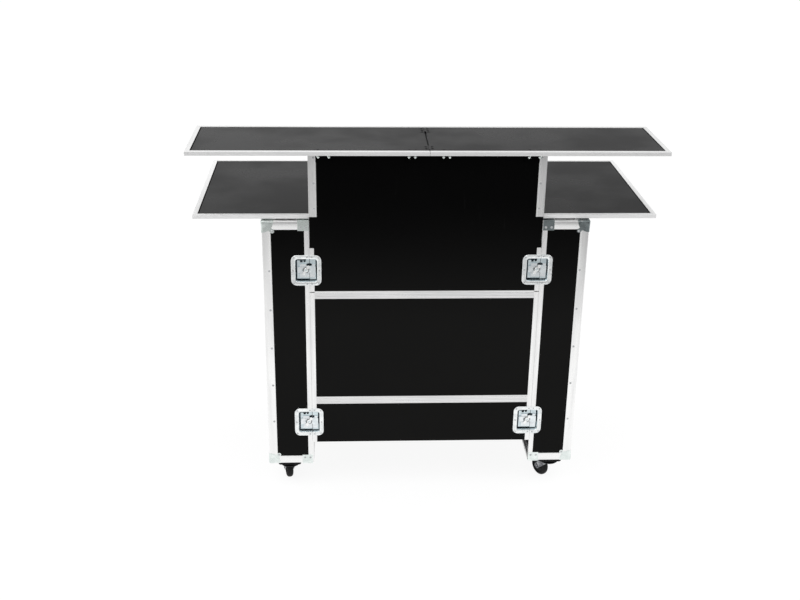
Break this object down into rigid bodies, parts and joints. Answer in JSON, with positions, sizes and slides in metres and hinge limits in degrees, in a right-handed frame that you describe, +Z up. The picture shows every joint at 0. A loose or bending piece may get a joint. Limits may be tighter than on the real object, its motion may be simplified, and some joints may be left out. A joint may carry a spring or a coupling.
{
  "type": "portable bar",
  "caption": "Folding road-case bar: case halves on casters, latched front panel, low worktop and raised folding counter.",
  "frame": {"origin": "on the floor, under the middle of the bar's outline", "axes": "+X to the customer's right along the counter, +Y away from the customer, +Z up"},
  "size_m": [1.534, 0.7764, 1.2789],
  "materials": {
    "case_laminate": "black textured laminate on plywood, matt",
    "top_laminate": "dark laminate on plywood, satin",
    "aluminium_profile": "natural anodised, fine lengthways lines",
    "zinc_plate": "pressed steel, bright zinc plate",
    "rivet_steel": "plain steel domes",
    "black_steel": "black, satin",
    "seat_rubber": "ribbed, matt",
    "wheel_rubber": "moulded, matt"
  },
  "bodies": {
    "stand": {"left_outer_board": "case_laminate", "left_front_board": "case_laminate", "left_rear_board": "case_laminate", "left_top_board": "case_laminate", "left_bottom_board": "case_laminate", "left_edge_angles": "aluminium_profile", "left_closing_frame": "aluminium_profile", "right_outer_board": "case_laminate", "right_front_board": "case_laminate", "right_rear_board": "case_laminate", "right_top_board": "case_laminate", "right_bottom_board": "case_laminate", "right_edge_angles": "aluminium_profile", "right_closing_frame": "aluminium_profile", "ball_corners": "zinc_plate", "corner_braces": "zinc_plate", "worktop_seat_strips": "seat_rubber", "case_rivets": "rivet_steel", "upper_front_board": "case_laminate", "lower_front_board": "case_laminate", "upper_side_profiles": "aluminium_profile", "panel_closing_profiles": "aluminium_profile", "upper_joint_strip": "aluminium_profile", "lower_joint_strip": "aluminium_profile", "case_latch_dishes": "zinc_plate", "panel_latch_dishes": "zinc_plate", "panel_keeper_dishes": "zinc_plate", "case_keeper_dishes": "zinc_plate", "caster_plates": "black_steel"},
    "front_left_caster": {"front_left_fork": "black_steel"},
    "front_left_wheel": {"front_left_wheel": "wheel_rubber"},
    "front_right_caster": {"front_right_fork": "black_steel"},
    "front_right_wheel": {"front_right_wheel": "wheel_rubber"},
    "rear_left_caster": {"rear_left_fork": "black_steel"},
    "rear_left_wheel": {"rear_left_wheel": "wheel_rubber"},
    "rear_right_caster": {"rear_right_fork": "black_steel"},
    "rear_right_wheel": {"rear_right_wheel": "wheel_rubber"},
    "left_upper_key": {"left_upper_latch_key": "zinc_plate"},
    "left_upper_hook": {"left_upper_latch_hook": "zinc_plate"},
    "left_lower_key": {"left_lower_latch_key": "zinc_plate"},
    "left_lower_hook": {"left_lower_latch_hook": "zinc_plate"},
    "right_upper_key": {"right_upper_latch_key": "zinc_plate"},
    "right_upper_hook": {"right_upper_latch_hook": "zinc_plate"},
    "right_lower_key": {"right_lower_latch_key": "zinc_plate"},
    "right_lower_hook": {"right_lower_latch_hook": "zinc_plate"},
    "counter_left": {"counter_left_board": "top_laminate", "counter_left_edging": "aluminium_profile", "counter_left_hinge_leaves": "black_steel", "counter_left_brackets": "black_steel", "counter_left_bolts": "zinc_plate"},
    "counter_right": {"counter_right_board": "top_laminate", "counter_right_edging": "aluminium_profile", "counter_right_hinge_leaves": "black_steel", "counter_right_brackets": "black_steel", "counter_right_bolts": "zinc_plate"},
    "worktop": {"worktop_left_board": "top_laminate", "worktop_right_board": "top_laminate", "worktop_edging": "aluminium_profile", "worktop_hinges": "black_steel"}
  },
  "joints": [
    {"name": "front_left_swivel", "type": "hinge", "parent": "stand", "child": "front_left_caster", "pos_m": [-0.4715, -0.26175, 0.09], "axis": [0, 0, 1], "continuous": true},
    {"name": "front_left_roll", "type": "hinge", "parent": "front_left_caster", "child": "front_left_wheel", "pos_m": [-0.47879, -0.22039, 0.0375], "axis": [0.9848, 0.1736, 0], "continuous": true},
    {"name": "front_right_swivel", "type": "hinge", "parent": "stand", "child": "front_right_caster", "pos_m": [0.4715, -0.26175, 0.09], "axis": [0, 0, 1], "continuous": true},
    {"name": "front_right_roll", "type": "hinge", "parent": "front_right_caster", "child": "front_right_wheel", "pos_m": [0.44987, -0.22575, 0.0375], "axis": [0.8572, 0.515, 0], "continuous": true},
    {"name": "rear_left_swivel", "type": "hinge", "parent": "stand", "child": "rear_left_caster", "pos_m": [-0.4715, 0.34225, 0.09], "axis": [0, 0, 1], "continuous": true},
    {"name": "rear_left_roll", "type": "hinge", "parent": "rear_left_caster", "child": "rear_left_wheel", "pos_m": [-0.43203, 0.32788, 0.0375], "axis": [-0.342, -0.9397, 0], "continuous": true},
    {"name": "rear_right_swivel", "type": "hinge", "parent": "stand", "child": "rear_right_caster", "pos_m": [0.4715, 0.34225, 0.09], "axis": [0, 0, 1], "continuous": true},
    {"name": "rear_right_roll", "type": "hinge", "parent": "rear_right_caster", "child": "rear_right_wheel", "pos_m": [0.45714, 0.30278, 0.0375], "axis": [-0.9397, 0.342, 0], "continuous": true},
    {"name": "left_upper_key_turn", "type": "hinge", "parent": "stand", "child": "left_upper_key", "pos_m": [-0.39925, -0.30175, 0.845], "axis": [0, -1, 0], "range_deg": [0, 180]},
    {"name": "left_upper_hook_slide", "type": "slide", "parent": "stand", "child": "left_upper_hook", "axis": [1, 0, 0], "range_m": [0, 0.0085]},
    {"name": "left_lower_key_turn", "type": "hinge", "parent": "stand", "child": "left_lower_key", "pos_m": [-0.39925, -0.30175, 0.27], "axis": [0, -1, 0], "range_deg": [0, 180]},
    {"name": "left_lower_hook_slide", "type": "slide", "parent": "stand", "child": "left_lower_hook", "axis": [1, 0, 0], "range_m": [0, 0.0085]},
    {"name": "right_upper_key_turn", "type": "hinge", "parent": "stand", "child": "right_upper_key", "pos_m": [0.37625, -0.30175, 0.845], "axis": [0, -1, 0], "range_deg": [0, 180]},
    {"name": "right_upper_hook_slide", "type": "slide", "parent": "stand", "child": "right_upper_hook", "axis": [1, 0, 0], "range_m": [0, 0.0085]},
    {"name": "right_lower_key_turn", "type": "hinge", "parent": "stand", "child": "right_lower_key", "pos_m": [0.37625, -0.30175, 0.27], "axis": [0, -1, 0], "range_deg": [0, 180]},
    {"name": "right_lower_hook_slide", "type": "slide", "parent": "stand", "child": "right_lower_hook", "axis": [1, 0, 0], "range_m": [0, 0.0085]},
    {"name": "counter_lift", "type": "slide", "parent": "stand", "child": "counter_left", "axis": [0, 0, 1], "range_m": [0, 0.3]},
    {"name": "counter_fold", "type": "hinge", "parent": "counter_left", "child": "counter_right", "pos_m": [0, -0.22475, 1.2759], "axis": [0, -1, 0], "range_deg": [0, 180]},
    {"name": "worktop_pull", "type": "slide", "parent": "stand", "child": "worktop", "axis": [0, 1, 0], "range_m": [0, 0.7]}
  ],
  "couplings": [
    {"joint": "left_upper_hook_slide", "follows": "left_upper_key_turn", "m_per_rad": 0.0027056},
    {"joint": "left_lower_hook_slide", "follows": "left_lower_key_turn", "m_per_rad": 0.0027056},
    {"joint": "right_upper_hook_slide", "follows": "right_upper_key_turn", "m_per_rad": 0.0027056},
    {"joint": "right_lower_hook_slide", "follows": "right_lower_key_turn", "m_per_rad": 0.0027056}
  ]
}
